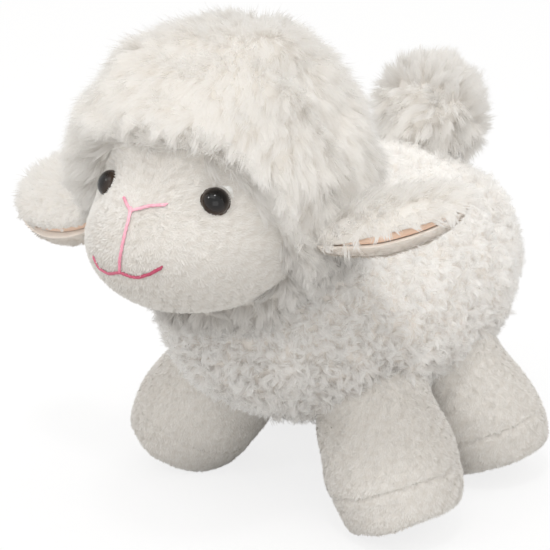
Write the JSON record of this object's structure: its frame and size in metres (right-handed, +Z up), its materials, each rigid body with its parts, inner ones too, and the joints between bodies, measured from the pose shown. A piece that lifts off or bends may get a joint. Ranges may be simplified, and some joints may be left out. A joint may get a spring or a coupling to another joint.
{
  "type": "stuffed toy lamb",
  "caption": "Small stuffed lamb standing on splayed stubby legs, with a woolly hood round a smooth face, sideways ears, domed eyes, a stitched nose and smile, and a pompom tail.",
  "frame": {"origin": "middle of the bounding box at the level of the floor that the soles stand on", "axes": "+Z up from the floor; the nose points along -Y; the toy's left side is +X"},
  "size_m": [0.1684, 0.1974, 0.1692],
  "materials": {
    "wool": "long curly pile, matte",
    "velboa": "short brushed pile, soft sheen",
    "lining": "smooth short pile, matte",
    "fibre": "loose fibre filling",
    "eye_plastic": "polished",
    "washer_plastic": "plain moulded",
    "nose_thread": "embroidery thread",
    "mouth_thread": "embroidery thread"
  },
  "bodies": {
    "body": {"body_cover": "wool", "body_stuffing": "fibre"},
    "neck": {"neck_stuffing": "fibre"},
    "head": {"head_hood": "wool", "face_panel": "velboa", "head_stuffing": "fibre", "eye_left": "eye_plastic", "eye_washer_left": "washer_plastic", "eye_right": "eye_plastic", "eye_washer_right": "washer_plastic", "nose_stitching": "nose_thread", "mouth_stitching": "mouth_thread"},
    "ear_left": {"ear_outer_left": "wool", "ear_lining_left": "lining"},
    "ear_right": {"ear_outer_right": "wool", "ear_lining_right": "lining"},
    "tail": {"tail_cover": "wool", "tail_stuffing": "fibre"},
    "leg_front_left": {"leg_cover_front_left": "velboa", "sole_front_left": "velboa", "leg_stuffing_front_left": "fibre"},
    "leg_front_right": {"leg_cover_front_right": "velboa", "sole_front_right": "velboa", "leg_stuffing_front_right": "fibre"},
    "leg_rear_left": {"leg_cover_rear_left": "velboa", "sole_rear_left": "velboa", "leg_stuffing_rear_left": "fibre"},
    "leg_rear_right": {"leg_cover_rear_right": "velboa", "sole_rear_right": "velboa", "leg_stuffing_rear_right": "fibre"}
  },
  "joints": [
    {"name": "head_twist", "type": "hinge", "parent": "body", "child": "neck", "pos_m": [0.00017, -0.0453, 0.12248], "axis": [0, 0.7838, -0.621], "range_deg": [-12, 12], "stiffness_Nm_per_rad": 0.3},
    {"name": "head_nod", "type": "hinge", "parent": "neck", "child": "head", "pos_m": [0.00017, -0.0453, 0.12248], "axis": [0.9973, 0.0627, 0.0384], "range_deg": [-8, 10], "stiffness_Nm_per_rad": 0.3},
    {"name": "ear_left_flap", "type": "hinge", "parent": "head", "child": "ear_left", "pos_m": [0.042, -0.04668, 0.11407], "axis": [-0.2044, 0.9697, 0.1338], "range_deg": [-25, 25], "stiffness_Nm_per_rad": 0.03},
    {"name": "ear_right_flap", "type": "hinge", "parent": "head", "child": "ear_right", "pos_m": [-0.04038, -0.05186, 0.1109], "axis": [0.0981, -0.738, -0.6676], "range_deg": [-25, 25], "stiffness_Nm_per_rad": 0.03},
    {"name": "tail_wag", "type": "hinge", "parent": "body", "child": "tail", "pos_m": [0.00017, 0.06491, 0.10472], "axis": [0, 0.9282, -0.372], "range_deg": [-12, 12], "stiffness_Nm_per_rad": 0.06},
    {"name": "front_left_leg_swing", "type": "hinge", "parent": "body", "child": "leg_front_left", "pos_m": [0.02967, -0.0052, 0.04048], "axis": [1, 0, 0], "range_deg": [-20, 3], "stiffness_Nm_per_rad": 0.5},
    {"name": "front_right_leg_swing", "type": "hinge", "parent": "body", "child": "leg_front_right", "pos_m": [-0.02933, -0.0052, 0.04048], "axis": [1, 0, 0], "range_deg": [-20, 3], "stiffness_Nm_per_rad": 0.5},
    {"name": "rear_left_leg_swing", "type": "hinge", "parent": "body", "child": "leg_rear_left", "pos_m": [0.02967, 0.0386, 0.04048], "axis": [1, 0, 0], "range_deg": [-3, 20], "stiffness_Nm_per_rad": 0.5},
    {"name": "rear_right_leg_swing", "type": "hinge", "parent": "body", "child": "leg_rear_right", "pos_m": [-0.02933, 0.0386, 0.04048], "axis": [1, 0, 0], "range_deg": [-3, 20], "stiffness_Nm_per_rad": 0.5}
  ]
}
